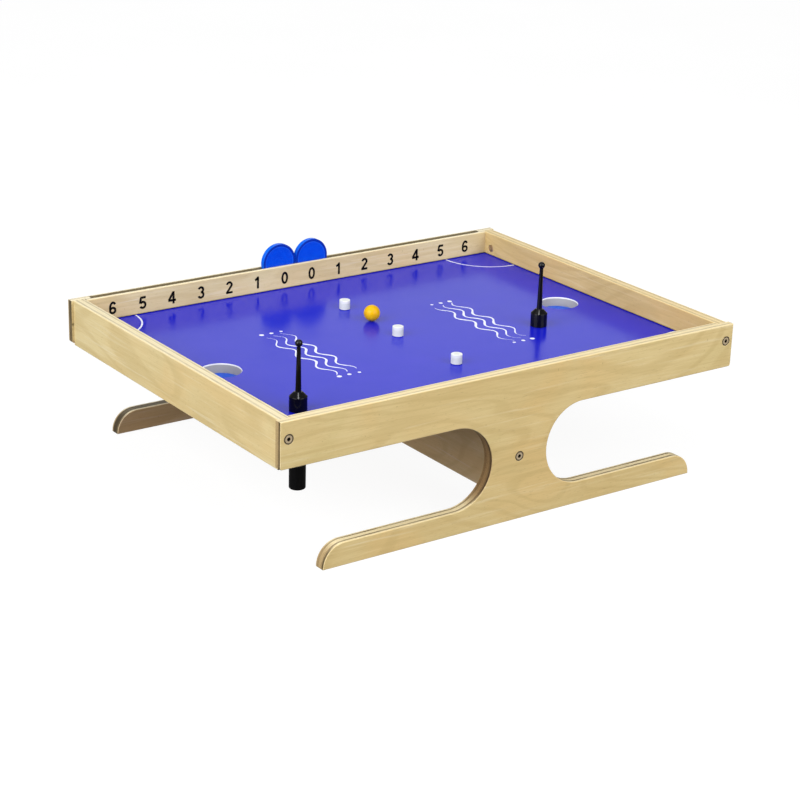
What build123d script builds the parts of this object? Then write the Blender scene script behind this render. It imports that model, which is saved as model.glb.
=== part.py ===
from build123d import *
import os

# Tabletop magnetic-striker game: a blue board between four plywood panels, the two long
# ones cut out as legs. Two strikers on the board follow magnetic handles held below it.
# Millimetres. The origin is on the table under the middle of the game, +X runs along the
# long side, +Y towards the side with the score markers, +Z up.

# Panels
LENGTH = 440.0            # long panels, end to end
WIDTH = 332.0             # over the outer faces of the long panels
HEIGHT = 125.0            # table to the top of the rails
PLY = 10.5
OVERHANG = 2.0            # long panels pass the end panels by this much
REBATE = 4.0              # how far the end panels are let into the long ones
RAIL_HEIGHT = 37.0        # the part of a long panel beside the board
RAIL_CORNER_R = 2.0       # lower end corners of the rail
END_PANEL_HEIGHT = 39.0
FOOT_LENGTH = 363.0
FOOT_HEIGHT = 19.0
FOOT_CORNER_R = 18.5      # upper end corners of the foot
OPENING_X = 61.5          # centre of the round inner end of each side opening
EDGE_R = 0.8              # sanded edges
DIVIDER_BOTTOM_Z = 14.5

# Board
BOARD_TOP_Z = 104.4
BOARD_THICK = 8.0         # upper sheet, with the goal holes through it
BASE_THICK = 4.0          # lower sheet, which closes the goal holes
BOARD_TONGUE = 4.0        # how far the board sits in the grooves of the panels
GROOVE_CLEARANCE = 0.6    # shadow gap above the board in the grooves
GOAL_X = 171.0
GOAL_R = 16.5
GOAL_RIM_R = 0.5

# M4 countersunk screws, with 90 degree heads
SCREW_LENGTH = 25.0
SCREW_R = 2.0
HEAD_R = 3.8
HEAD_LAND = 0.2           # straight rim of the head
HEAD_INSET = 0.15         # head face below the panel face
SOCKET_ACROSS_FLATS = 2.5
SOCKET_DEPTH = 1.6
COUNTERSINK_R = 4.2
SCREW_HOLE_R = 2.2
END_SCREW_Z = 111.0
HOLE_PAST_TIP = 1.2       # screw holes run on past the tip

# Barrel nuts
NUT_R = 3.5
NUT_AXIS_INSET = 9.5      # nut axis from the end of its panel
END_NUT_LENGTH = 8.6
DIVIDER_NUT_LENGTH = 9.6
NUT_END_GAP = 0.2
NUT_THREAD_R = 2.02
NUT_SLOT_WIDTH = 1.0
NUT_SLOT_DEPTH = 0.8

# Score markers
MARKER_R = 16.5
MARKER_THICK = 4.6
MARKER_RIM = 2.2
MARKER_RECESS = 0.4
MARKER_EDGE_R = 0.5
MARKER_Z = 128.2
MARKER_MIDDLE_X = -1.0    # point between the two markers
MARKER_SPACING = 33.4
MARKER_GROOVE_WIDTH = 5.2
MARKER_GROOVE_LENGTH = 404.0

# Loose playing pieces
GAP = 0.3                 # clear gap between a loose piece and what it rests on
MAGNET_FIT = 0.05         # glue gap round a magnet
MAGNET_EDGE_R = 0.3
STRIKER_R = 7.0
STRIKER_BASE_HEIGHT = 11.3
STRIKER_EDGE_R = 0.3
SHOULDER_Z = 15.0
SHOULDER_TOP_R = 3.2
STEM_LOW_R = 2.3
STEM_TOP_R = 1.45
KNOB_R = 2.9
KNOB_Z = 53.0
HANDLE_R = 6.5
HANDLE_LENGTH = 50.5
HANDLE_END_R = 1.2
STRIKER_MAGNET_R = 5.0
STRIKER_MAGNET_THICK = 5.0
STRIKER_PLACES = {"left": (-166.5, -105.7), "right": (116.0, -40.2)}
OBSTACLE_R = 4.65
OBSTACLE_HEIGHT = 8.0
OBSTACLE_EDGE_R = 0.4
OBSTACLE_MAGNET_R = 3.0
OBSTACLE_MAGNET_THICK = 4.0
OBSTACLE_PLACES = {"front": (-1.0, -81.5), "middle": (-1.8, -1.0), "back": (-0.5, 80.5)}
BALL_R = 6.9
BALL_PLACE = (1.0, 41.5)

# Worked out from the sizes above
PANEL_Y = (WIDTH - PLY) / 2                      # middle of a long panel's thickness
INNER_Y = WIDTH / 2 - PLY
END_PANEL_X = LENGTH / 2 - OVERHANG - PLY / 2    # middle of an end panel's thickness
INNER_X = END_PANEL_X - PLY / 2
RAIL_BOTTOM_Z = HEIGHT - RAIL_HEIGHT
BOARD_BOTTOM_Z = BOARD_TOP_Z - BOARD_THICK - BASE_THICK
GROOVE_TOP_Z = BOARD_TOP_Z + GROOVE_CLEARANCE
OPENING_R = (RAIL_BOTTOM_Z - FOOT_HEIGHT) / 2
OPENING_Z = FOOT_HEIGHT + OPENING_R
DIVIDER_SCREW_Z = OPENING_Z
NUT_Y = INNER_Y - NUT_AXIS_INSET
CUT = 1.0                                        # cutters stick out this far past a face


def block(low, high):
    """A box between two opposite corners."""
    size = [abs(b - a) for a, b in zip(low, high)]
    middle = [(a + b) / 2 for a, b in zip(low, high)]
    return Pos(*middle) * Box(*size)


def rod(radius, start, end):
    """A cylinder between two points."""
    line = Vector(*end) - Vector(*start)
    return extrude(Plane(origin=start, z_dir=line) * Circle(radius), amount=line.length)


def upright(radius, place, low_z, high_z):
    """An upright cylinder over a place on the board."""
    return rod(radius, (*place, low_z), (*place, high_z))


def board_block(low_z, high_z):
    """The space of one sheet of the board, or of its groove, out to the bottom of the grooves."""
    half_x = INNER_X + BOARD_TONGUE
    half_y = INNER_Y + BOARD_TONGUE
    return block((-half_x, -half_y, low_z), (half_x, half_y, high_z))


def side_profile():
    """Outline of a long panel in X and Z: rail, foot, and the waisted leg between them."""
    rail = Pos(0, HEIGHT - RAIL_HEIGHT / 2) * Rectangle(LENGTH, RAIL_HEIGHT)
    foot = Pos(0, FOOT_HEIGHT / 2) * Rectangle(FOOT_LENGTH, FOOT_HEIGHT)
    leg = Pos(0, OPENING_Z) * Rectangle(2 * OPENING_X, 2 * OPENING_R)
    rail = fillet(rail.vertices().group_by(Axis.Y)[0], RAIL_CORNER_R)
    foot = fillet(foot.vertices().group_by(Axis.Y)[-1], FOOT_CORNER_R)
    outline = rail + foot + leg
    for side in (-1, 1):
        outline -= Pos(side * OPENING_X, OPENING_Z) * Circle(OPENING_R)
    return outline


def countersunk_screw(x, z):
    """Screw through the front long panel, with its head at the outer face."""
    head_y = -WIDTH / 2 + HEAD_INSET
    cone_y = head_y + HEAD_LAND
    neck_y = cone_y + HEAD_R - SCREW_R
    tip_y = head_y + SCREW_LENGTH
    half = Polyline(
        (0, head_y),
        (HEAD_R, head_y),
        (HEAD_R, cone_y),
        (SCREW_R, neck_y),
        (SCREW_R, tip_y),
        (0, tip_y),
        close=True,
    )
    socket_plane = Plane(origin=(0, head_y, 0), x_dir=(1, 0, 0), z_dir=(0, 1, 0))
    hexagon = RegularPolygon(SOCKET_ACROSS_FLATS / 2, 6, major_radius=False)
    socket = extrude(socket_plane * hexagon, amount=SOCKET_DEPTH)
    return Pos(x, 0, z) * (revolve(make_face(half), Axis.Y) - socket)


def countersunk_hole(x, z):
    """Hole through the front long panel for a countersunk screw."""
    face_y = -WIDTH / 2
    half = Polyline(
        (0, face_y - CUT),
        (COUNTERSINK_R, face_y - CUT),
        (COUNTERSINK_R, face_y),
        (SCREW_HOLE_R, face_y + COUNTERSINK_R - SCREW_HOLE_R),
        (SCREW_HOLE_R, -INNER_Y + CUT),
        (0, -INNER_Y + CUT),
        close=True,
    )
    return Pos(x, 0, z) * revolve(make_face(half), Axis.Y)


def long_panel():
    """The front long panel, with its groove for the board, end rebates and screw holes."""
    panel = extrude(Plane.XZ * side_profile(), amount=PLY / 2, both=True)
    faces = panel.faces().sort_by(Axis.Y)
    panel = fillet(faces[0].edges() + faces[-1].edges(), EDGE_R)
    panel = Pos(0, -PANEL_Y, 0) * panel
    panel -= board_block(BOARD_BOTTOM_Z, GROOVE_TOP_Z)
    for side in (-1, 1):
        near = (side * INNER_X, -INNER_Y - REBATE, HEIGHT - END_PANEL_HEIGHT - CUT)
        far = (side * (LENGTH / 2 + CUT), -INNER_Y + CUT, HEIGHT + CUT)
        panel -= block(near, far)
        panel -= countersunk_hole(side * END_PANEL_X, END_SCREW_Z)
    return panel - countersunk_hole(0, DIVIDER_SCREW_Z)


def marker_groove():
    """Routed groove along the top of the back rail, round at its ends."""
    bottom_z = MARKER_Z - MARKER_R - GAP
    slot = SlotOverall(MARKER_GROOVE_LENGTH, MARKER_GROOVE_WIDTH)
    return Pos(0, PANEL_Y, bottom_z) * extrude(slot, amount=HEIGHT - bottom_z + CUT)


def cross_panel(x, half_y, low_z, high_z, nut_low_x, nut_high_x, screw_z):
    """A panel that runs from one long panel to the other and is screwed at both ends."""
    panel = block((x - PLY / 2, -half_y, low_z), (x + PLY / 2, half_y, high_z))
    panel = fillet(panel.edges().filter_by(Axis.Y), EDGE_R)
    hole_end = WIDTH / 2 - HEAD_INSET - SCREW_LENGTH - HOLE_PAST_TIP
    for side in (-1, 1):
        panel -= rod(SCREW_HOLE_R, (x, side * (half_y + CUT), screw_z), (x, side * hole_end, screw_z))
        panel -= rod(NUT_R, (nut_low_x, side * NUT_Y, screw_z), (nut_high_x, side * NUT_Y, screw_z))
    return panel


def divider():
    """Upright panel under the middle of the board, with nut holes right through it."""
    hole_x = PLY / 2 + CUT
    return cross_panel(0, INNER_Y, DIVIDER_BOTTOM_Z, BOARD_BOTTOM_Z, -hole_x, hole_x, DIVIDER_SCREW_Z)


def end_panel():
    """The right end panel, with its groove for the board and nut holes from inside."""
    hole_x = INNER_X + END_NUT_LENGTH + 2 * NUT_END_GAP
    low_z = HEIGHT - END_PANEL_HEIGHT
    half_y = INNER_Y + REBATE
    panel = cross_panel(END_PANEL_X, half_y, low_z, HEIGHT, INNER_X - CUT, hole_x, END_SCREW_Z)
    return panel - board_block(BOARD_BOTTOM_Z, GROOVE_TOP_Z)


def upper_board():
    """Upper sheet of the board with the two goal holes."""
    sheet = board_block(BOARD_TOP_Z - BOARD_THICK, BOARD_TOP_Z)
    for x in (-GOAL_X, GOAL_X):
        sheet -= upright(GOAL_R, (x, 0), BOARD_BOTTOM_Z, BOARD_TOP_Z + CUT)
    rims = sheet.faces().sort_by(Axis.Z)[-1].edges().filter_by(GeomType.CIRCLE)
    return fillet(rims, GOAL_RIM_R)


def barrel_nut(slot_x, length, thread_x, z):
    """Slotted cross dowel for a front screw. It runs along +X from its slotted end."""
    y = -NUT_Y
    nut = rod(NUT_R, (slot_x, y, z), (slot_x + length, y, z))
    nut -= rod(NUT_THREAD_R, (thread_x, y - NUT_R - CUT, z), (thread_x, y + NUT_R + CUT, z))
    low = (slot_x - CUT, y - NUT_SLOT_WIDTH / 2, z - NUT_R - CUT)
    high = (slot_x + NUT_SLOT_DEPTH, y + NUT_SLOT_WIDTH / 2, z + NUT_R + CUT)
    return nut - block(low, high)


def magnet(radius, thick, place, bottom):
    """Disc magnet with its lower face at the height bottom."""
    disc = upright(radius, place, bottom, bottom + thick)
    return fillet(disc.edges().filter_by(GeomType.CIRCLE), MAGNET_EDGE_R)


def score_marker(x):
    """Round marker with a raised rim on both faces, standing in the groove."""
    half = MARKER_THICK / 2
    disc = extrude(Plane.XZ * Circle(MARKER_R), amount=half, both=True)
    disc = fillet(disc.edges().filter_by(GeomType.CIRCLE), MARKER_EDGE_R)
    middle = rod(MARKER_R - MARKER_RIM, (0, half - MARKER_RECESS, 0), (0, half + CUT, 0))
    disc -= middle
    disc -= mirror(middle, Plane.XZ)
    return Pos(x, PANEL_Y, MARKER_Z) * disc


def striker(place):
    """Striker: round base, sloping shoulder, tapered stem and knob, with a magnet pocket."""
    half = Polyline(
        (0, 0),
        (STRIKER_R, 0),
        (STRIKER_R, STRIKER_BASE_HEIGHT),
        (SHOULDER_TOP_R, SHOULDER_Z),
        (STEM_LOW_R, SHOULDER_Z),
        (STEM_TOP_R, KNOB_Z),
        (0, KNOB_Z),
        close=True,
    )
    body = revolve(Plane.XZ * make_face(half), Axis.Z)
    rims = body.edges().filter_by(GeomType.CIRCLE).group_by(lambda edge: edge.radius)[-1]
    body = fillet(rims, STRIKER_EDGE_R)
    body += Pos(0, 0, KNOB_Z) * Sphere(KNOB_R)
    pocket_top = STRIKER_MAGNET_THICK + MAGNET_FIT
    body -= upright(STRIKER_MAGNET_R + MAGNET_FIT, (0, 0), -CUT, pocket_top)
    return Pos(*place, BOARD_TOP_Z + GAP) * body


def handle(place):
    """Round handle under the board, with a magnet pocket in its top."""
    top = BOARD_BOTTOM_Z - GAP
    grip = upright(HANDLE_R, place, top - HANDLE_LENGTH, top)
    grip = fillet(grip.edges().group_by(Axis.Z)[0], HANDLE_END_R)
    pocket_bottom = top - STRIKER_MAGNET_THICK - MAGNET_FIT
    return grip - upright(STRIKER_MAGNET_R + MAGNET_FIT, place, pocket_bottom, top + CUT)


def obstacle(place):
    """Small round obstacle, with a magnet pocket in its underside."""
    bottom = BOARD_TOP_Z + GAP
    shell = upright(OBSTACLE_R, place, bottom, bottom + OBSTACLE_HEIGHT)
    shell = fillet(shell.edges().filter_by(GeomType.CIRCLE), OBSTACLE_EDGE_R)
    pocket_top = bottom + OBSTACLE_MAGNET_THICK + MAGNET_FIT
    return shell - upright(OBSTACLE_MAGNET_R + MAGNET_FIT, place, bottom - CUT, pocket_top)


def frame_nodes():
    """Panels and board."""
    front = long_panel()
    right = end_panel()
    return {
        "long_panel_front": front,
        "long_panel_back": mirror(front, Plane.XZ) - marker_groove(),
        "end_panel_left": mirror(right, Plane.YZ),
        "end_panel_right": right,
        "board_top_sheet": upper_board(),
        "board_base_sheet": board_block(BOARD_BOTTOM_Z, BOARD_TOP_Z - BOARD_THICK),
        "divider_board": divider(),
    }


def fastener_nodes():
    """Six screws and their barrel nuts. The back ones are the front ones turned half round."""
    right_nut = barrel_nut(INNER_X + NUT_END_GAP, END_NUT_LENGTH, END_PANEL_X, END_SCREW_Z)
    screws = {
        "left": countersunk_screw(-END_PANEL_X, END_SCREW_Z),
        "right": countersunk_screw(END_PANEL_X, END_SCREW_Z),
        "divider": countersunk_screw(0, DIVIDER_SCREW_Z),
    }
    nuts = {
        "left": mirror(right_nut, Plane.YZ),
        "right": right_nut,
        "divider": barrel_nut(-DIVIDER_NUT_LENGTH / 2, DIVIDER_NUT_LENGTH, 0, DIVIDER_SCREW_Z),
    }
    nodes = {}
    for name, opposite in (("left", "right"), ("right", "left"), ("divider", "divider")):
        nodes[f"screw_{name}_front"] = screws[name]
        nodes[f"screw_{name}_back"] = Rot(0, 0, 180) * screws[opposite]
        nodes[f"barrel_nut_{name}_front"] = nuts[name]
        nodes[f"barrel_nut_{name}_back"] = Rot(0, 0, 180) * nuts[opposite]
    return nodes


def playing_nodes():
    """Markers, strikers, handles, obstacles, their magnets, and the ball."""
    nodes = {}
    on_board = BOARD_TOP_Z + GAP
    handle_magnet_z = BOARD_BOTTOM_Z - GAP - STRIKER_MAGNET_THICK
    for name, side in (("left", -1), ("right", 1)):
        nodes[f"score_marker_{name}"] = score_marker(MARKER_MIDDLE_X + side * MARKER_SPACING / 2)
    for name, place in STRIKER_PLACES.items():
        nodes[f"striker_{name}"] = striker(place)
        nodes[f"handle_{name}"] = handle(place)
        for owner, bottom in (("striker", on_board), ("handle", handle_magnet_z)):
            disc = magnet(STRIKER_MAGNET_R, STRIKER_MAGNET_THICK, place, bottom)
            nodes[f"{owner}_magnet_{name}"] = disc
    for name, place in OBSTACLE_PLACES.items():
        disc = magnet(OBSTACLE_MAGNET_R, OBSTACLE_MAGNET_THICK, place, on_board)
        nodes[f"obstacle_{name}"] = obstacle(place)
        nodes[f"obstacle_magnet_{name}"] = disc
    nodes["ball"] = Pos(*BALL_PLACE, on_board + BALL_R) * Sphere(BALL_R)
    return nodes


def main():
    os.makedirs("parts", exist_ok=True)
    nodes = {**frame_nodes(), **fastener_nodes(), **playing_nodes()}
    for name, shape in nodes.items():
        export_step(shape, f"parts/{name}.step")
        print(name, round(shape.volume))


main()
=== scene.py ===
import math

import bmesh
import bpy
from mathutils import Matrix, Vector


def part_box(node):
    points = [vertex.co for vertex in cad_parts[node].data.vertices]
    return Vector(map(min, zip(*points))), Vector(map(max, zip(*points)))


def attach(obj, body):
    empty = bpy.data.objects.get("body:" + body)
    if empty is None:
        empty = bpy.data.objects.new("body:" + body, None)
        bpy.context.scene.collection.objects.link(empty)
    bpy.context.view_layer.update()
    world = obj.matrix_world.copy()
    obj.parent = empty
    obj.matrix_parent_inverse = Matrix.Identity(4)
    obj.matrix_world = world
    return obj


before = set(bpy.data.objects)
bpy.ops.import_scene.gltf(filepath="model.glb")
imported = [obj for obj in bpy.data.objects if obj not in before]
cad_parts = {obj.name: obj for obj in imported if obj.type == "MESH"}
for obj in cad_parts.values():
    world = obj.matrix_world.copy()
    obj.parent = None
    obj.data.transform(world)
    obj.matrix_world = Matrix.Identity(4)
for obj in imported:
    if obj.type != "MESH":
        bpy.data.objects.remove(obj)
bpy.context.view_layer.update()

# Sizes are in millimetres, and those of the camera, lights and stage in metres. Printed faces,
# screw axes and the middles of pieces are read from the CAD nodes.
MM = 0.001
AXES = {"X": 0, "Y": 1, "Z": 2}

# Ink, which stands just clear of what it is printed on
PRINT_THICK = 0.04
PRINT_GAP = 0.01

# Plies on the edges of a sheet of plywood, measured from the middle of the sheet
CROSS_PLY = (2.1, 3.2)            # inner and outer limit of the dark cross ply on each side
GLUE_LINE = 0.2                   # half the width of a glue line
PLY_BLUR = 0.15                   # half the width over which one ply turns into the next
PLY_WANDER = 0.15                 # how far the plies stray from their places
DARK_PLY = (-4.9, -2.9)           # dark ply where an edge cuts the fibres, on the -Y or -X side
DARK_PLY_BACK = (-5.2, 3.4)       # the same on the back panel, where it is much wider

# Marks on the panels, with painted light and shade
BIRCH_CONTOURS = 95.0             # how closely the wavy contours on a face follow each other
RAIL_WASHOUT_Z = (96.0, 120.0)       # up between these heights, the plies fade out: painted light on the rail tops
RAIL_WASHOUT_PLIES = 0.4                   # how strongly the plies still show under that painted light
JOINT_SHADOW_RISE = (-2.0, 0.0, 0.6, 1.4)  # heights over the board of the painted shadow along the joint: dark from the second to the third
UNDER_BOARD_SHADE_Z = (88.0, 92.0)             # painted shade on the inner faces of the long panels: full below the first height, gone above the second
LEG_SHADE_X = 92.0                 # the leg's cut edges get painted shade this far from the middle
LEG_SHADE_FADE = 12.0
SCORE_GROOVE = (2.6, 202.0)       # half width and half length

# Screws, measured from their axis
SOCKET_R = 1.55
HEAD_R = 3.8
HEAD_RIM_SHADE = (1.1, 0.5)             # painted shade on the head starts and is full at these distances in from its edge
COUNTERSINK_SHADE_R = 4.05                     # painted shade in the countersink, over its dark end grain, out to this radius
COUNTERSINK_SHADE_BLUR = 0.15

# Loose pieces and goals
MARKER_RIM = 2.2                  # width of a score marker's raised rim
MARKER_LINE = (1.1, 0.4, 0.0)     # start, middle and end of the pale line, inwards from the rim
MAGNET_SPOT = (2.2, 3.1)          # inner and outer radius of the shadow on top of an obstacle
MAGNET_BAND = (0.8, 5.6)          # height of an obstacle where its magnet shows through
MAGNET_BLUR = (0.6, 0.8)          # softness of the band at its lower and upper limit
GOAL_HIGHLIGHT_DEPTH = (1.3, 0.8)       # the goal walls turn to a painted highlight between these depths

# Score numbers along the inner face of the back rail
NUMBERS = "65432100123456"
NUMBER_STEP = 28.3
NUMBER_HEIGHT = 10.9
NUMBER_Z = 114.3
NUMBER_STROKE = 0.19              # as a share of the height
NUMBER_WIDEN = 1.12
NUMBER_ARC_STEPS = 24

# Strokes of each number in a box one unit high. A line has its two ends, and an arc its
# middle, its radii across and up, and its first and last angle in degrees.
DIGITS = {
    "0": [(0.0, 0.5, 0.2, 0.42, 0, 360)],
    "1": [(0.06, 0.0, 0.06, 1.0), (0.08, 0.9, -0.18, 0.70)],
    "2": [(0.0, 0.71, 0.19, 0.21, 170, -35), (0.17, 0.62, -0.21, 0.07), (-0.27, 0.08, 0.27, 0.08)],
    "3": [(0.0, 0.72, 0.18, 0.2, 160, -90), (0.0, 0.3, 0.2, 0.22, 90, -160)],
    "4": [(0.12, 0.96, -0.25, 0.3), (-0.3, 0.28, 0.31, 0.28), (0.12, 0.0, 0.12, 1.0)],
    "5": [(-0.17, 0.92, 0.25, 0.92), (-0.13, 0.92, -0.2, 0.46), (0.01, 0.32, 0.2, 0.24, 150, -155)],
    "6": [(0.0, 0.29, 0.2, 0.21, 0, 360), (0.02, 0.47, 0.22, 0.45, 40, 200)],
}

# Corner arcs on the board
ARC_R = 45.0
ARC_WIDTH = 1.5
ARC_STEPS = 40

# Brush pattern on the board: three wavy strokes along Y, with a row of dots at each end
PATTERN_PLACES = ((-89.0, -1.0, 0.0), (81.0, -6.0, math.pi))   # x, y and turn
WAVE_LENGTH = 104.0
WAVE_HEIGHT = 7.5
WAVE_ROWS = (-9.5, 0.0, 9.5)
WAVE_CRESTS = 3.5
WAVE_PHASE = 0.5                  # from one row to the next, in radians
WAVE_SHIFT = 2.5                  # along Y from one row to the next
WAVE_STEPS = 120
STROKE_WIDTH = 1.9
STROKE_LEAST = 0.25
STROKE_LIFT = 1.08                # the brush lifts before the last part of the stroke
STROKE_TAPER = 0.35
DOT_R = 2.1
DOT_SHRINK = 0.35                 # from one dot to the next
DOT_GAP = 6.0                     # from the end of the strokes
DOT_STEPS = 24

# Camera, fitted to the straight edges of the frame
CAMERA_PLACE = (-0.9653, -1.3480, 0.6667)
CAMERA_AZIMUTH = 35.693
CAMERA_ELEVATION = 20.502
CAMERA_ROLL = 1.698
CAMERA_LENS = 94.85               # millimetres
CAMERA_SENSOR = 36.0              # millimetres
CAMERA_REACH = 50.0

# Light: place, size and power of each softbox, and the brightness of the surroundings
LIGHTS = {
    "left_light": ((-2.3, -0.35, 1.3), 2.1, 79.0),
    "front_light": ((0.7, -2.4, 1.5), 2.1, 69.0),
    "top_light": ((0.0, 0.3, 2.6), 2.4, 9.0),
    "spark_light": ((-0.45, -0.63, 2.27), 0.4, 7.0),
    "back_light": ((1.7, 2.6, 1.2), 1.8, 9.0),
}
LIGHTS_AIM = (0.0, 0.0, 0.08)
WORLD_STRENGTH = 0.24

# Stage: a square floor, and a round wall that hides its far edges
FLOOR_HALF = 9.0
WALL_R = 8.5
WALL_HEIGHT = 7.0
WALL_STEPS = 64

# Linear colours
BIRCH_CREAM = (0.75, 0.655, 0.45)
BIRCH_PALE = (0.66, 0.525, 0.27)
BIRCH_MID = (0.60, 0.455, 0.215)
BIRCH_DEEP = (0.50, 0.365, 0.155)
BIRCH_PORE = (0.30, 0.20, 0.08)
BIRCH_EDGE_HIGHLIGHT = (0.78, 0.67, 0.43)
BIRCH_WARM = (0.66, 0.46, 0.20)
BIRCH_OLIVE = (0.58, 0.475, 0.225)
PLY_TAN = (0.50, 0.37, 0.19)
PLY_BROWN = (0.30, 0.20, 0.095)
PLY_DARK = (0.095, 0.065, 0.026)
PLY_GLUE = (0.045, 0.03, 0.014)
BOARD_BLUE = (0.006, 0.011, 0.47)
BOARD_BLUE_WARM = (0.010, 0.012, 0.49)
BOARD_BLUE_DEEP = (0.004, 0.007, 0.39)
GOAL_BLUE = (0.01, 0.10, 0.70)
GOAL_BLUE_DEEP = (0.008, 0.085, 0.62)
GOAL_WHITE = (0.40, 0.39, 0.385)
GOAL_WHITE_THIN = (0.35, 0.34, 0.34)
GOAL_RIM_HIGHLIGHT = (0.85, 0.85, 0.86)
MARKER_BLUE = (0.0, 0.055, 0.62)
MARKER_BLUE_LIGHT = (0.0, 0.07, 0.68)
MARKER_BLUE_LINE = (0.03, 0.17, 0.88)
MARKER_BLUE_RIM = (0.0, 0.02, 0.30)
MARKER_BLUE_EDGE_HIGHLIGHT = (0.0, 0.13, 0.78)
PUCK_WHITE = (0.74, 0.75, 0.74)
PUCK_CREAM = (0.68, 0.70, 0.68)
PUCK_SHADOW = (0.44, 0.48, 0.44)
BALL_YELLOW = (0.73, 0.43, 0.001)
BALL_AMBER = (0.66, 0.34, 0.001)
BLACK = (0.0025, 0.0025, 0.0028)
BLACK_DEEP = (0.0018, 0.0018, 0.002)
STEEL = (0.72, 0.57, 0.37)
STEEL_DULL = (0.52, 0.41, 0.26)
STEEL_SHADE = (0.032, 0.022, 0.012)
NICKEL = (0.66, 0.64, 0.60)
NICKEL_DULL = (0.50, 0.48, 0.45)
PRINT_WHITE = (0.78, 0.80, 0.92)
PRINT_THIN = (0.36, 0.37, 0.78)
PRINT_BLACK = (0.006, 0.005, 0.005)
PRINT_BLACK_THIN = (0.02, 0.014, 0.01)
PAPER_PALE = (0.10, 0.10, 0.10)
PAPER_PALER = (0.11, 0.11, 0.11)
PAPER_GLOW = 0.92
WHITE = (1.0, 1.0, 1.0)

# Tones that multiply the colour of a sheet, or of a part of it. Those of the divider, of the long panels
# under the board and of the leg's cut edges are painted shade.
TINT_FRONT = (1.01, 1.0, 0.95)
TINT_BACK = (1.08, 1.13, 1.25)
TINT_LEFT = (1.0, 1.03, 1.06)
TINT_RIGHT = (0.98, 0.92, 0.79)
TINT_UNDER = (0.88, 0.84, 0.84)
TINT_DIVIDER_SHADE = (0.86, 0.80, 0.90)
TINT_UNDER_BOARD_SHADE = (0.66, 0.55, 0.55)
TINT_LEG_EDGE_SHADE = (0.62, 0.52, 0.44)


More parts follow.
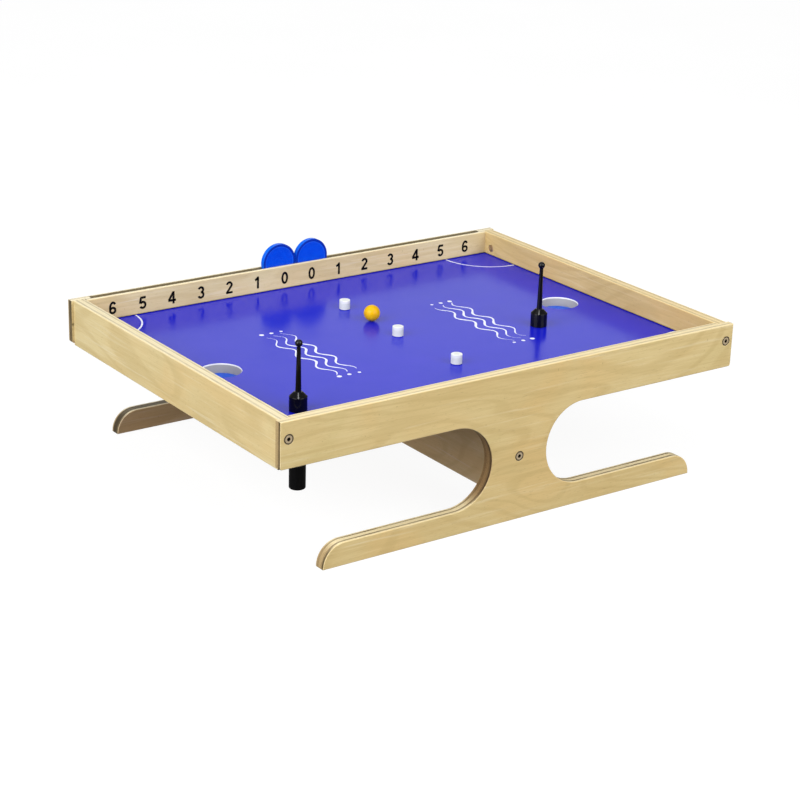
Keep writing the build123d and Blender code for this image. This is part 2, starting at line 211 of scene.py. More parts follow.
class Shader:
    """A new material, with short calls that add nodes to it."""

    def __init__(self, name):
        self.material = bpy.data.materials.new(name)
        self.material.use_nodes = True
        self.tree = self.material.node_tree
        self.surface = self.tree.nodes["Principled BSDF"]
        self.coordinates = self.tree.nodes.new("ShaderNodeTexCoord")
        self.place = self.vector_math("SCALE", self.coordinates.outputs["Object"], scale=1 / MM)

    def put(self, socket, value):
        """Sets a socket to a number or colour, or links another socket to it."""
        if isinstance(value, bpy.types.NodeSocket):
            self.tree.links.new(value, socket)
        elif isinstance(value, (tuple, list)) and len(value) == 3 and socket.type == "RGBA":
            socket.default_value = (*value, 1.0)
        else:
            socket.default_value = value

    def math(self, operation, *values):
        """One operation on numbers."""
        node = self.tree.nodes.new("ShaderNodeMath")
        node.operation = operation
        for socket, value in zip(node.inputs, values):
            self.put(socket, value)
        return node.outputs[0]

    def vector_math(self, operation, *values, scale=None):
        """One operation on vectors. Only a length comes out as a number."""
        node = self.tree.nodes.new("ShaderNodeVectorMath")
        node.operation = operation
        for socket, value in zip(node.inputs, values):
            self.put(socket, value)
        if scale is not None:
            node.inputs["Scale"].default_value = scale
        return node.outputs["Value" if operation == "LENGTH" else "Vector"]

    def component(self, vector, axis):
        """The part of a vector that lies along an axis."""
        node = self.tree.nodes.new("ShaderNodeSeparateXYZ")
        self.put(node.inputs[0], vector)
        return node.outputs[AXES[axis]]

    def along(self, axis):
        """Place along an axis, in millimetres."""
        return self.component(self.place, axis)

    def facing(self, axis):
        """How far the surface faces along an axis, from -1 to 1."""
        return self.component(self.coordinates.outputs["Normal"], axis)

    def radius(self, middle, axis):
        """Distance from the line through middle along an axis, in millimetres."""
        away = self.vector_math("SUBTRACT", self.place, middle)
        flat = self.vector_math("MULTIPLY", away, along_axis(axis, 0.0, 1.0))
        return self.vector_math("LENGTH", flat)

    def noise(self, scale, detail=2.0, roughness=0.5, distortion=0.0, stretch=(1, 1, 1), shift=(0, 0, 0)):
        """Noise of 0 to 1 whose scale is in features per millimetre, squeezed along each axis."""
        moved = self.vector_math("ADD", self.place, shift)
        squeezed = self.vector_math("MULTIPLY", moved, stretch)
        node = self.tree.nodes.new("ShaderNodeTexNoise")
        self.put(node.inputs["Vector"], squeezed)
        node.inputs["Scale"].default_value = scale
        node.inputs["Detail"].default_value = detail
        node.inputs["Roughness"].default_value = roughness
        node.inputs["Distortion"].default_value = distortion
        return node.outputs["Fac"]

    def remap(self, value, low, high, to_low=0.0, to_high=1.0, smooth=False):
        """value from low to high becomes to_low to to_high, and stops there."""
        node = self.tree.nodes.new("ShaderNodeMapRange")
        node.interpolation_type = "SMOOTHSTEP" if smooth else "LINEAR"
        for socket, given in zip(node.inputs, (value, low, high, to_low, to_high)):
            self.put(socket, given)
        return node.outputs[0]

    def mix(self, share, a, b, blend="MIX"):
        """Mixes two colours, for which the node has its own sockets after those for numbers."""
        node = self.tree.nodes.new("ShaderNodeMix")
        node.data_type = "RGBA"
        node.blend_type = blend
        self.put(node.inputs[0], share)
        self.put(node.inputs[6], a)
        self.put(node.inputs[7], b)
        return node.outputs[2]

    def fade(self, under, over, value, low, high, share=1.0, smooth=False):
        """Colour that goes from under towards over as value goes from low to high, up to share."""
        return self.mix(self.remap(value, low, high, 0.0, share, smooth), under, over)

    def bump(self, height, depth):
        """Surface relief, with depth in millimetres between height 0 and 1."""
        node = self.tree.nodes.new("ShaderNodeBump")
        node.inputs["Strength"].default_value = 1.0
        node.inputs["Distance"].default_value = depth * MM
        self.put(node.inputs["Height"], height)
        return node.outputs["Normal"]

    def finish(self, colour, roughness, normal, **constants):
        """Fills the surface. constants are shader inputs that are the same all over."""
        self.put(self.surface.inputs["Base Color"], colour)
        self.put(self.surface.inputs["Roughness"], roughness)
        self.put(self.surface.inputs["Normal"], normal)
        for name, value in constants.items():
            self.put(self.surface.inputs[name.replace("_", " ")], value)
        return self.material


def along_axis(axis, along, across):
    """One value for an axis and another for the other two."""
    return tuple(along if index == AXES[axis] else across for index in range(3))


def middle_of(node):
    """Middle of a CAD node, in millimetres."""
    return tuple((a + b) / 2 / MM for a, b in zip(*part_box(node)))


def board_top():
    """Height of the board's upper face, in metres."""
    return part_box("board_top_sheet")[1][2]


def screw_radius(s, side):
    """Distance to the nearest screw axis in one long panel, in millimetres."""
    nearest = None
    for end in ("left", "right", "divider"):
        radius = s.radius(middle_of(f"screw_{end}_{side}"), "Y")
        nearest = radius if nearest is None else s.math("MINIMUM", nearest, radius)
    return nearest


def birch_face(s, grain, shift):
    """Colour of a rotary-cut birch face, with its fibres and its relief. The colour has a cloudy
    tone, wavy contours, fibres, pores and pin knots."""

    def grained(scale, detail, roughness, distortion, along, place=shift):
        return s.noise(scale, detail, roughness, distortion, along_axis(grain, along, 1.0), place)

    field = grained(0.011, 2.0, 0.45, 0.5, along=0.3)
    contour = s.math("SINE", s.math("MULTIPLY", field, BIRCH_CONTOURS))
    wide = grained(0.02, 3.0, 0.55, 0.8, along=0.35)
    streaks = grained(0.34, 4.0, 0.6, 0.6, along=0.035)
    fibres = grained(1.7, 5.0, 0.62, 0.1, along=0.03)
    pores = grained(2.6, 2.0, 0.5, 0.0, along=0.07)
    blotch = grained(0.016, 3.0, 0.5, 0.6, along=0.6, place=(shift[2], shift[0], shift[1]))
    knots = s.noise(0.42, 0.0, shift=shift)

    colour = s.fade(BIRCH_PALE, BIRCH_MID, wide, 0.34, 0.66, smooth=True)
    colour = s.fade(colour, BIRCH_WARM, blotch, 0.48, 0.66, 0.5, smooth=True)
    colour = s.fade(colour, BIRCH_OLIVE, blotch, 0.46, 0.3, 0.5, smooth=True)
    colour = s.fade(colour, BIRCH_DEEP, contour, 0.2, 1.0, 0.36, smooth=True)
    colour = s.fade(colour, BIRCH_DEEP, streaks, 0.5, 0.7, 0.4)
    colour = s.fade(colour, BIRCH_CREAM, streaks, 0.44, 0.28, 0.42)
    colour = s.fade(colour, BIRCH_DEEP, fibres, 0.5, 0.74, 0.34)
    colour = s.fade(colour, BIRCH_PORE, pores, 0.64, 0.74, 0.45)
    colour = s.fade(colour, BIRCH_PORE, knots, 0.84, 0.87, 0.4)
    relief = s.math("ADD", s.math("MULTIPLY", fibres, 0.6), s.math("MULTIPLY", pores, -0.4))
    return colour, fibres, relief


def glue_lines(s, depth):
    """1 on the glue lines of a sheet and 0 off them. depth is the distance from its middle."""
    glue = None
    for line in CROSS_PLY:
        off = s.math("ABSOLUTE", s.math("SUBTRACT", depth, line))
        near = s.remap(off, GLUE_LINE * 0.5, GLUE_LINE * 1.5, 1.0, 0.0)
        glue = near if glue is None else s.math("MAXIMUM", glue, near)
    return glue


def birch_edge(s, offset, endwise, fibres, shift, dark_ply):
    """Colour of a plywood edge, with its end grain and glue lines. The face and core plies are
    pale, and the cross plies and glue lines dark. Where the edge cuts the fibres of the face
    plies, they are brown instead, with one dark ply. offset is the place through the sheet."""
    depth = s.math("ABSOLUTE", offset)
    glue = glue_lines(s, depth)
    end_grain = s.noise(1.5, 4.0, 0.7, shift=shift)
    patches = s.noise(0.06, 3.0, 0.6, shift=shift)

    inner, outer = CROSS_PLY
    cross = s.math(
        "MULTIPLY",
        s.remap(depth, inner - PLY_BLUR, inner + PLY_BLUR),
        s.remap(depth, outer - PLY_BLUR, outer + PLY_BLUR, 1.0, 0.0),
    )
    long_ply = s.fade(BIRCH_CREAM, BIRCH_PALE, fibres, 0.35, 0.7, 0.8)
    cross_ply = s.fade(PLY_BROWN, PLY_DARK, end_grain, 0.35, 0.65)
    # Painted light: towards the rail tops the plies and glue lines fade out
    washed_out = s.remap(s.along("Z"), *RAIL_WASHOUT_Z, 1.0, RAIL_WASHOUT_PLIES)
    strength = s.math("MULTIPLY", washed_out, s.remap(patches, 0.3, 0.7, 0.45, 1.0))
    along = s.mix(s.math("MULTIPLY", cross, strength), long_ply, cross_ply)
    along = s.mix(s.math("MULTIPLY", glue, strength), along, PLY_GLUE)

    cut_ply = s.fade(PLY_TAN, PLY_BROWN, end_grain, 0.3, 0.68)
    across = s.mix(s.math("MULTIPLY", glue, 0.8), cut_ply, PLY_DARK)
    low, high = dark_ply
    dark = s.math(
        "MULTIPLY",
        s.remap(offset, low - 0.2, low + 0.1),
        s.remap(offset, high - 0.3, high + 0.3, 1.0, 0.0),
    )
    dark = s.math("MULTIPLY", dark, s.remap(patches, 0.3, 0.6, 0.75, 1.0))
    across = s.mix(dark, across, PLY_DARK)
    return s.mix(endwise, along, across), end_grain, glue


def joint_shadow(s, colour, inward):
    """Paints a shadow on the inner face of a panel, in a line along its joint with the board."""
    height = s.along("Z")
    start, full, fading, gone = (board_top() / MM + rise for rise in JOINT_SHADOW_RISE)
    line = s.math("MULTIPLY", inward, s.remap(height, fading, gone, 1.0, 0.0))
    line = s.math("MULTIPLY", line, s.remap(height, start, full))
    return s.mix(s.math("MULTIPLY", line, 0.75), colour, PLY_DARK)


def long_panel_shade(s, colour, inward, endwise, side):
    """Paints shade on a long panel: on its inner face under the board, on the cut edges of its leg
    and in its countersinks."""
    # Painted shade on the inner face under the board
    under_board_shade = s.math("MULTIPLY", inward, s.remap(s.along("Z"), *UNDER_BOARD_SHADE_Z, 1.0, 0.0))
    colour = s.mix(under_board_shade, colour, TINT_UNDER_BOARD_SHADE, "MULTIPLY")
    # Painted shade on the cut edges of the leg, in the openings under the board
    from_middle = s.math("ABSOLUTE", s.along("X"))
    leg_edge_shade = s.remap(from_middle, LEG_SHADE_X, LEG_SHADE_X + LEG_SHADE_FADE, 1.0, 0.0)
    colour = s.mix(s.math("MULTIPLY", leg_edge_shade, endwise), colour, TINT_LEG_EDGE_SHADE, "MULTIPLY")
    # Painted shade in the countersinks, darker than their end grain
    ring = s.remap(screw_radius(s, side), COUNTERSINK_SHADE_R - COUNTERSINK_SHADE_BLUR, COUNTERSINK_SHADE_R + COUNTERSINK_SHADE_BLUR, 1.0, 0.0)
    return s.mix(ring, colour, PLY_GLUE)


def groove_shade(s, colour, middle):
    """Paints shade inside the groove for the score markers."""
    half_width, half_length = SCORE_GROOVE
    aside = s.math("ABSOLUTE", s.math("SUBTRACT", s.along("Y"), middle))
    inside = s.math(
        "MULTIPLY",
        s.remap(aside, half_width - 0.02, half_width + 0.12, 1.0, 0.0),
        s.remap(s.math("ABSOLUTE", s.along("X")), half_length, half_length + 0.2, 1.0, 0.0),
    )
    return s.mix(s.math("MULTIPLY", inside, 0.85), colour, PLY_GLUE)


def plywood(node, through, grain, shift, tint, screws=None, grooved=False, dark_ply=DARK_PLY):
    """Birch plywood for one panel. through is the axis through the sheet and grain the direction
    of the fibres of its faces. shift picks its figure, and tint is its tone. screws is the side
    of a long panel, and grooved says whether it has the groove for the score markers."""
    s = Shader(f"birch_{node}")
    middle = middle_of(node)[AXES[through]]
    facing = s.math("ABSOLUTE", s.facing(through))
    endwise = s.remap(s.math("ABSOLUTE", s.facing(grain)), 0.25, 0.85, smooth=True)
    inward = s.remap(s.math("MULTIPLY", s.facing(through), -math.copysign(1.0, middle)), 0.5, 0.8)
    wander = s.noise(0.05, 3.0, 0.6, shift=shift)
    offset = s.math("SUBTRACT", s.along(through), middle)
    offset = s.math("ADD", offset, s.remap(wander, 0.3, 0.7, -PLY_WANDER, PLY_WANDER))

    face, fibres, relief = birch_face(s, grain, shift)
    edge, end_grain, glue = birch_edge(s, offset, endwise, fibres, shift, dark_ply)
    on_face = s.remap(facing, 0.3, 0.6, smooth=True)
    # Painted highlight on the rounded edges between a face and an edge
    rounded_highlight = s.math(
        "MULTIPLY",
        s.remap(facing, 0.25, 0.5, smooth=True),
        s.remap(facing, 0.86, 0.97, 1.0, 0.0, smooth=True),
    )
    colour = s.mix(on_face, edge, face)
    colour = s.mix(s.math("MULTIPLY", rounded_highlight, 0.3), colour, BIRCH_EDGE_HIGHLIGHT)
    colour = s.mix(1.0, colour, tint, "MULTIPLY")
    colour = joint_shadow(s, colour, inward)
    if screws:
        colour = long_panel_shade(s, colour, inward, endwise, screws)
    if grooved:
        colour = groove_shade(s, colour, middle)

    off_face = s.math("SUBTRACT", 1.0, on_face)
    rough_face = s.remap(fibres, 0.3, 0.7, 0.4, 0.54)
    rough_edge = s.remap(end_grain, 0.3, 0.7, 0.1, 0.25)
    roughness = s.math("ADD", rough_face, s.math("MULTIPLY", off_face, rough_edge))
    edge_relief = s.math("MULTIPLY", off_face, s.math("SUBTRACT", end_grain, glue))
    relief = s.math("ADD", relief, edge_relief)
    return s.finish(colour, roughness, s.bump(relief, 0.05), Specular_IOR_Level=0.35)


def blue_sheet(name):
    """The board: glossy blue print on top, painted white where the goals are cut through, with a painted
    highlight round the top of each goal wall.
    """
    s = Shader(name)
    cloud = s.noise(0.02, 3.0, 0.5, 0.5)
    grain = s.noise(3.0, 3.0, 0.6)
    smudge = s.noise(0.035, 5.0, 0.62, 1.2, shift=(37, 12, 0))
    scratch = s.noise(0.9, 3.0, 0.5, 2.0, stretch=(0.08, 1, 1), shift=(5, 9, 0))
    top = s.fade(BOARD_BLUE, BOARD_BLUE_WARM, cloud, 0.3, 0.7)
    top = s.fade(top, BOARD_BLUE_DEEP, grain, 0.45, 0.75, 0.25)
    cut = s.fade(GOAL_WHITE, GOAL_WHITE_THIN, grain, 0.35, 0.65)
    # Painted highlight round the top of each goal wall
    start, full = (board_top() / MM - depth for depth in GOAL_HIGHLIGHT_DEPTH)
    cut = s.fade(cut, GOAL_RIM_HIGHLIGHT, s.along("Z"), start, full)
    on_top = s.remap(s.facing("Z"), 0.85, 0.97)
    colour = s.mix(on_top, cut, top)
    marks = s.math("ADD", s.remap(smudge, 0.4, 0.7, 0.0, 0.05), s.remap(scratch, 0.62, 0.72, 0.0, 0.05))
    roughness = s.remap(on_top, 0.0, 1.0, 0.6, s.math("ADD", marks, 0.17))
    relief = s.math("ADD", s.math("MULTIPLY", grain, 0.5), s.math("MULTIPLY", scratch, -0.15))
    return s.finish(colour, roughness, s.bump(relief, 0.006), Specular_IOR_Level=0.12)


def base_sheet(name):
    """Thin birch sheet under the board, painted blue where it closes the goals."""
    s = Shader(name)
    face, fibres, relief = birch_face(s, "X", (220, 60, 640))
    face = s.mix(1.0, face, TINT_UNDER, "MULTIPLY")
    cloud = s.noise(0.2, 3.0, 0.5, 0.5)
    blue = s.fade(GOAL_BLUE, GOAL_BLUE_DEEP, cloud, 0.35, 0.65)
    painted = s.remap(s.facing("Z"), 0.5, 0.9)
    rough_wood = s.remap(fibres, 0.3, 0.7, 0.45, 0.6)
    rough_paint = s.remap(cloud, 0.3, 0.7, 0.25, 0.35)
    roughness = s.remap(painted, 0.0, 1.0, rough_wood, rough_paint)
    return s.finish(s.mix(painted, face, blue), roughness, s.bump(relief, 0.03), Specular_IOR_Level=0.3)


def moulded(name, colour, deep, roughness, relief_depth, seed, **constants):
    """Moulded plastic: faint flow marks, a fine skin, and rubbed patches."""
    s = Shader(name)
    flow = s.noise(0.12, 3.0, 0.55, 1.6, stretch=(1, 1, 0.4), shift=(seed, 0, 0))
    skin = s.noise(2.2, 4.0, 0.6, shift=(0, seed, 0))
    rubbed = s.noise(0.3, 4.0, 0.6, 0.8, shift=(0, 0, seed))
    shade = s.fade(colour, deep, flow, 0.35, 0.65)
    rough_patches = s.remap(rubbed, 0.35, 0.7, roughness * 0.75, roughness * 1.4)
    rough = s.math("ADD", rough_patches, s.remap(skin, 0.5, 0.8, 0.0, 0.06))
    return s.finish(shade, rough, s.bump(skin, relief_depth), **constants)


def marker_plastic(name, node):
    """Blue plastic, darker on the raised rim and paler in a line just inside it, with a painted highlight on
    its round edge.
    """
    s = Shader(name)
    low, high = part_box(node)
    rim_r = (high[0] - low[0]) / 2 / MM - MARKER_RIM
    radius = s.radius(middle_of(node), "Y")
    skin = s.noise(2.0, 4.0, 0.6)
    flow = s.noise(0.1, 3.0, 0.55, 2.0)
    start, peak, end = (rim_r - inset for inset in MARKER_LINE)
    line = s.math("MULTIPLY", s.remap(radius, start, peak), s.remap(radius, peak, end, 1.0, 0.0))
    colour = s.fade(MARKER_BLUE, MARKER_BLUE_LIGHT, flow, 0.35, 0.65)
    colour = s.mix(s.math("MULTIPLY", line, 0.5), colour, MARKER_BLUE_LINE)
    colour = s.fade(colour, MARKER_BLUE_RIM, radius, rim_r - 0.2, rim_r + 0.2, 0.85)
    # Painted highlight: the round edge of the marker is painted a paler blue
    sideways = s.math("ABSOLUTE", s.facing("Y"))
    colour = s.mix(s.remap(sideways, 0.3, 0.8, 0.9, 0.0), colour, MARKER_BLUE_EDGE_HIGHLIGHT)
    roughness = s.remap(skin, 0.3, 0.7, 0.2, 0.34)
    return s.finish(colour, roughness, s.bump(skin, 0.004), Specular_IOR_Level=0.15)


def white_puck(name, node):
    """White plastic with the magnet showing faintly through its top and side."""
    s = Shader(name)
    radius = s.radius(middle_of(node), "Z")
    height = s.math("SUBTRACT", s.along("Z"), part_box(node)[0][2] / MM)
    skin = s.noise(2.5, 4.0, 0.6)
    cloud = s.noise(0.25, 3.0, 0.5, 0.8)
    colour = s.fade(PUCK_WHITE, PUCK_CREAM, cloud, 0.35, 0.65)
    colour = s.mix(s.remap(radius, *MAGNET_SPOT, 0.22, 0.0, smooth=True), colour, PUCK_SHADOW)
    low, high = MAGNET_BAND
    low_blur, high_blur = MAGNET_BLUR
    band = s.math(
        "MULTIPLY",
        s.remap(height, low - low_blur, low + low_blur, smooth=True),
        s.remap(height, high - high_blur, high + high_blur, 1.0, 0.0, smooth=True),
    )
    colour = s.mix(s.math("MULTIPLY", band, 0.4), colour, PUCK_SHADOW)
    roughness = s.remap(skin, 0.3, 0.7, 0.28, 0.42)
    return s.finish(colour, roughness, s.bump(skin, 0.004), Specular_IOR_Level=0.5)


def steel(name, base, deep, roughness, seed, metallic=1.0, screws=None):
    """Plated steel with fine turning marks and dull patches. screws is the side of the game
    whose screws it is for, with painted shade in the socket and round the rim of the head."""
    s = Shader(name)
    dull = s.noise(0.6, 4.0, 0.6, 0.6, shift=(seed, 0, 0))
    marks = s.noise(5.0, 3.0, 0.55, stretch=(1, 0.2, 1), shift=(0, seed, 0))
    colour = s.fade(base, deep, dull, 0.35, 0.65)
    if screws:
        radius = screw_radius(s, screws)
        rim_shade_start, rim_shade_full = (HEAD_R - inset for inset in HEAD_RIM_SHADE)
        # Painted shade in the socket and round the rim of the head
        socket = s.remap(radius, SOCKET_R - 0.2, SOCKET_R + 0.1, 1.0, 0.0)
        colour = s.mix(socket, colour, STEEL_SHADE)
        colour = s.fade(colour, STEEL_SHADE, radius, rim_shade_start, rim_shade_full, 0.88)
    rough_patches = s.remap(dull, 0.35, 0.65, roughness, roughness + 0.16)
    rough = s.math("ADD", rough_patches, s.remap(marks, 0.5, 0.8, 0.0, 0.1))
    return s.finish(colour, rough, s.bump(marks, 0.01), Metallic=metallic)


def ink(name, colour, faded, streaks, roughness, gloss):
    """Printed ink with thin places. streaks is how strongly brush marks show along Y."""
    s = Shader(name)
    brushed = s.noise(1.3, 4.0, 0.65, 0.3, stretch=(1, 0.05, 1))
    speckle = s.noise(4.0, 3.0, 0.6)
    thin = s.math("ADD", s.remap(brushed, 0.48, 0.72, 0.0, streaks), s.remap(speckle, 0.6, 0.75, 0.0, 0.15))
    shade = s.mix(thin, colour, faded)
    rough = s.remap(speckle, 0.3, 0.7, roughness - 0.05, roughness + 0.08)
    return s.finish(shade, rough, s.bump(speckle, 0.006), Specular_IOR_Level=gloss)


def stage_paper():
    """Plain pale studio paper, which glows so that shadows on it stay soft and pale."""
    s = Shader("studio_paper")
    fibre = s.noise(0.4, 4.0, 0.6)
    cloud = s.noise(0.004)
    colour = s.fade(PAPER_PALE, PAPER_PALER, cloud, 0.3, 0.7)
    roughness = s.remap(fibre, 0.3, 0.7, 0.75, 0.9)
    return s.finish(colour, roughness, s.bump(fibre, 0.03), Specular_IOR_Level=0.0,
                    Emission_Color=WHITE, Emission_Strength=PAPER_GLOW)


def paint(material, *nodes):
    """Gives CAD nodes a material."""
    for name in nodes:
        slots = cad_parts[name].data.materials
        slots.clear()
        slots.append(material)


def paint_wood():
    """Materials for the panels, the board and the divider."""
    front = plywood("long_panel_front", "Y", "X", (0, 0, 0), TINT_FRONT, screws="front")
    back = plywood("long_panel_back", "Y", "X", (310, 0, 170), TINT_BACK, screws="back",
                   grooved=True, dark_ply=DARK_PLY_BACK)
    paint(front, "long_panel_front")
    paint(back, "long_panel_back")
    paint(plywood("end_panel_left", "X", "Y", (40, 530, 60), TINT_LEFT), "end_panel_left")
    paint(plywood("end_panel_right", "X", "Y", (90, 770, 310), TINT_RIGHT), "end_panel_right")
    # The divider's tint is painted shade under the board
    paint(plywood("divider_board", "X", "Y", (0, 950, 210), TINT_DIVIDER_SHADE), "divider_board")
    paint(blue_sheet("blue_board"), "board_top_sheet")
    paint(base_sheet("birch_base_sheet"), "board_base_sheet")


def paint_metal():
    """Materials for the screws, barrel nuts and magnets."""
    nut_steel = steel("nut_steel", STEEL_DULL, STEEL, 0.34, 8.0)
    magnet_nickel = steel("magnet_nickel", NICKEL, NICKEL_DULL, 0.18, 14.0)
    for side in ("front", "back"):
        screw_steel = steel(f"screw_steel_{side}", STEEL, STEEL_DULL, 0.42, 3.0, metallic=0.6, screws=side)
        for end in ("left", "right", "divider"):
            paint(screw_steel, f"screw_{end}_{side}")
            paint(nut_steel, f"barrel_nut_{end}_{side}")
    for side in ("left", "right"):
        paint(magnet_nickel, f"striker_magnet_{side}", f"handle_magnet_{side}")
    for row in ("front", "middle", "back"):
        paint(magnet_nickel, f"obstacle_magnet_{row}")


def paint_plastic():
    """Materials for the strikers, handles, score markers, obstacles and ball."""
    striker_black = moulded("striker_black", BLACK, BLACK_DEEP, 0.14, 0.001, 2.0, Specular_IOR_Level=0.3)
    handle_black = moulded("handle_black", BLACK, BLACK_DEEP, 0.36, 0.003, 6.0, Specular_IOR_Level=0.12)
    ball_yellow = moulded("ball_yellow", BALL_YELLOW, BALL_AMBER, 0.3, 0.004, 9.0, Specular_IOR_Level=0.2)
    for side in ("left", "right"):
        paint(striker_black, f"striker_{side}")
        paint(handle_black, f"handle_{side}")
        paint(marker_plastic(f"marker_{side}", f"score_marker_{side}"), f"score_marker_{side}")
    for row in ("front", "middle", "back"):
        paint(white_puck(f"puck_{row}", f"obstacle_{row}"), f"obstacle_{row}")
    paint(ball_yellow, "ball")


def link_to_scene(thing):
    """Puts an object into the scene."""
    bpy.context.scene.collection.objects.link(thing)


def new_piece(name, shape, material):
    """A printed piece on the frame, from a bmesh."""
    mesh = to_mesh(shape, name)
    mesh.materials.append(material)
    piece = bpy.data.objects.new(name, mesh)
    link_to_scene(piece)
    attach(piece, "frame")


def to_mesh(shape, name):
    """A mesh with outward faces from a bmesh."""
    bmesh.ops.recalc_face_normals(shape, faces=shape.faces)
    mesh = bpy.data.meshes.new(name)
    shape.to_mesh(mesh)
    shape.free()
    return mesh


def add_point(shape, place, z):
    """Adds a point to a bmesh, with its place in XY in millimetres and its height in metres."""
    return shape.verts.new((place.x * MM, place.y * MM, z))


def close_rings(shape, rings):
    """Joins rings of points into one closed solid, with a face at each end."""
    for ring, following in zip(rings, rings[1:]):
        for a in range(len(ring)):
            b = (a + 1) % len(ring)
            shape.faces.new((ring[a], ring[b], following[b], following[a]))
    shape.faces.new(rings[0])
    shape.faces.new(rings[-1])


def ribbon(shape, points, widths, low_z):
    """Adds a flat closed strip along points in XY to a bmesh, as thick as ink."""
    rings = []
    last = len(points) - 1
    for index, point in enumerate(points):
        ahead = points[min(index + 1, last)] - points[max(index - 1, 0)]
        side = Vector((-ahead.y, ahead.x)).normalized() * widths[index] / 2
        corners = ((side, 0.0), (-side, 0.0), (-side, PRINT_THICK), (side, PRINT_THICK))
        rings.append([add_point(shape, point + offset, low_z + height * MM) for offset, height in corners])
    close_rings(shape, rings)


def disc(shape, middle, radius, low_z):
    """Adds a flat closed disc to a bmesh, as thick as ink."""
    rings = []
    for height in (0.0, PRINT_THICK):
        ring = []
        for step in range(DOT_STEPS):
            angle = 2 * math.pi * step / DOT_STEPS
            place = middle + Vector((math.cos(angle), math.sin(angle))) * radius
            ring.append(add_point(shape, place, low_z + height * MM))
        rings.append(ring)
    close_rings(shape, rings)


def corner_arcs(material, low_z):
    """A quarter circle in each inner corner of the board."""
    inner_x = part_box("end_panel_right")[0][0] / MM
    inner_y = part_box("long_panel_back")[0][1] / MM
    shape = bmesh.new()
    for x_side in (-1, 1):
        for y_side in (-1, 1):
            points = []
            for step in range(ARC_STEPS + 1):
                angle = math.pi / 2 * step / ARC_STEPS
                x = inner_x - ARC_R * math.cos(angle)
                y = inner_y - ARC_R * math.sin(angle)
                points.append(Vector((x_side * x, y_side * y)))
            ribbon(shape, points, [ARC_WIDTH] * len(points), low_z)
    new_piece("print_corner_arcs", shape, material)


def brush_stroke(row):
    """Points and widths of one wavy stroke, pressed unevenly and lifted towards its end."""
    from_middle_row = row - (len(WAVE_ROWS) - 1) / 2
    points = []
    widths = []
    for step in range(WAVE_STEPS + 1):
        share = step / WAVE_STEPS
        phase = 2 * math.pi * WAVE_CRESTS * share + row * WAVE_PHASE
        swing = math.sin(phase) * WAVE_HEIGHT / 2
        y = (share - 0.5) * WAVE_LENGTH + from_middle_row * WAVE_SHIFT
        points.append(Vector((WAVE_ROWS[row] + swing, y)))
        pressure = math.sin(math.pi * min(1.0, share * STROKE_LIFT)) ** STROKE_TAPER
        ripple = 1 + 0.16 * math.sin(phase * 2 + row) + 0.06 * math.sin(phase * 7 + row * 2)
        widths.append(max(STROKE_LEAST, STROKE_WIDTH * pressure * ripple))
    return points, widths


def brush_pattern(name, middle_x, middle_y, turn, material, low_z):
    """Wavy brush strokes with a row of dots at each end."""
    rotation = Matrix.Rotation(turn, 2)
    centre = Vector((middle_x, middle_y))
    shape = bmesh.new()
    for row in range(len(WAVE_ROWS)):
        points, widths = brush_stroke(row)
        ribbon(shape, [centre + rotation @ point for point in points], widths, low_z)
    for end in (-1, 1):
        for index, row_x in enumerate(WAVE_ROWS):
            place = Vector((row_x, end * (WAVE_LENGTH / 2 + DOT_GAP)))
            disc(shape, centre + rotation @ place, DOT_R - DOT_SHRINK * index, low_z)
    new_piece(name, shape, material)


def digit_points(stroke):
    """Points along one stroke of a number."""
    if len(stroke) == 4:
        return [Vector(stroke[:2]), Vector(stroke[2:])]
    middle_x, middle_y, radius_x, radius_y, first, last = stroke
    points = []
    for step in range(NUMBER_ARC_STEPS + 1):
        angle = math.radians(first + (last - first) * step / NUMBER_ARC_STEPS)
        points.append(Vector((middle_x + radius_x * math.cos(angle), middle_y + radius_y * math.sin(angle))))
    return points


def score_numbers(material):
    """The numbers on the inner face of the back rail, as one thin printed mesh."""
    face_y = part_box("long_panel_back")[0][1]
    shape = bmesh.new()
    for index, digit in enumerate(NUMBERS):
        centre = Vector(((index - (len(NUMBERS) - 1) / 2) * NUMBER_STEP, -NUMBER_HEIGHT / 2))
        for stroke in DIGITS[digit]:
            shaped = (Vector((point.x * NUMBER_WIDEN, point.y)) for point in digit_points(stroke))
            points = [centre + point * NUMBER_HEIGHT for point in shaped]
            ribbon(shape, points, [NUMBER_STROKE * NUMBER_HEIGHT] * len(points), PRINT_GAP * MM)
    stand = Matrix.Translation((0, face_y, NUMBER_Z * MM)) @ Matrix.Rotation(math.pi / 2, 4, "X")
    bmesh.ops.transform(shape, matrix=stand, verts=shape.verts)
    new_piece("print_score_numbers", shape, material)


def add_prints():
    """Everything printed on the game."""
    low_z = board_top() + PRINT_GAP * MM
    white = ink("print_white", PRINT_WHITE, PRINT_THIN, 0.5, 0.35, 0.2)
    corner_arcs(white, low_z)
    for side, (x, y, turn) in zip(("left", "right"), PATTERN_PLACES):
        brush_pattern(f"print_pattern_{side}", x, y, turn, white, low_z)
    score_numbers(ink("print_black", PRINT_BLACK, PRINT_BLACK_THIN, 0.3, 0.7, 0.05))


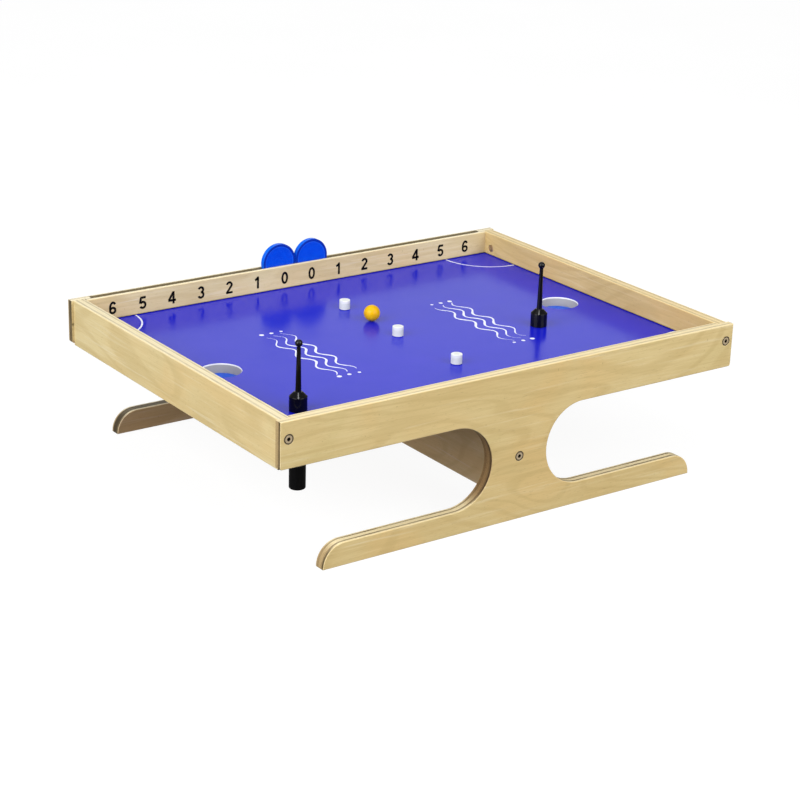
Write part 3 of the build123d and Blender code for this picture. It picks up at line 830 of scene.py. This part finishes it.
def add_camera():
    """The photograph's viewpoint."""
    azimuth = math.radians(CAMERA_AZIMUTH)
    elevation = math.radians(CAMERA_ELEVATION)
    forward = Vector((
        math.sin(azimuth) * math.cos(elevation),
        math.cos(azimuth) * math.cos(elevation),
        -math.sin(elevation),
    ))
    right = Vector((math.cos(azimuth), -math.sin(azimuth), 0))
    level = Matrix((right, right.cross(forward), -forward)).transposed()
    turned = level @ Matrix.Rotation(math.radians(CAMERA_ROLL), 3, "Z")
    data = bpy.data.cameras.new("camera")
    data.lens = CAMERA_LENS
    data.sensor_width = CAMERA_SENSOR
    data.clip_end = CAMERA_REACH
    camera = bpy.data.objects.new("camera", data)
    camera.matrix_world = Matrix.Translation(CAMERA_PLACE) @ turned.to_4x4()
    link_to_scene(camera)
    bpy.context.scene.camera = camera


def add_surroundings():
    """Dim even light from all round."""
    world = bpy.data.worlds.new("studio")
    world.use_nodes = True
    background = world.node_tree.nodes["Background"]
    background.inputs["Color"].default_value = (*WHITE, 1.0)
    background.inputs["Strength"].default_value = WORLD_STRENGTH
    bpy.context.scene.world = world


def add_softbox(name, place, size, power):
    """A square soft light that points at the game."""
    data = bpy.data.lights.new(name, "AREA")
    data.size = size
    data.energy = power
    light = bpy.data.objects.new(name, data)
    light.location = place
    light.rotation_euler = (Vector(LIGHTS_AIM) - Vector(place)).to_track_quat("-Z", "Y").to_euler()
    link_to_scene(light)


def add_floor(material):
    """A pale floor. It takes shadows, but is left out of the light that falls on the game and of
    its reflections, so that the underside of the game stays dark."""
    mesh = bpy.data.meshes.new("floor")
    corners = [(x * FLOOR_HALF, y * FLOOR_HALF, 0.0) for x, y in ((-1, -1), (1, -1), (1, 1), (-1, 1))]
    mesh.from_pydata(corners, [], [(0, 1, 2, 3)])
    mesh.materials.append(material)
    floor = bpy.data.objects.new("floor", mesh)
    link_to_scene(floor)
    floor.visible_diffuse = False
    floor.visible_glossy = False


def add_backdrop(material):
    """A round pale wall far behind everything. It only shows, and neither lights nor shades."""
    shape = bmesh.new()
    bmesh.ops.create_cone(
        shape,
        segments=WALL_STEPS,
        radius1=WALL_R,
        radius2=WALL_R,
        depth=2 * WALL_HEIGHT,
    )
    mesh = bpy.data.meshes.new("backdrop")
    shape.to_mesh(mesh)
    shape.free()
    mesh.materials.append(material)
    wall = bpy.data.objects.new("backdrop", mesh)
    link_to_scene(wall)
    wall.visible_diffuse = False
    wall.visible_glossy = False
    wall.visible_shadow = False


def add_studio():
    """Surroundings, stage and soft lights."""
    add_surroundings()
    paper = stage_paper()
    add_floor(paper)
    add_backdrop(paper)
    for name, (place, size, power) in LIGHTS.items():
        add_softbox(name, place, size, power)


paint_wood()
paint_metal()
paint_plastic()
add_prints()
add_camera()
add_studio()
bpy.context.scene.view_settings.view_transform = "Standard"
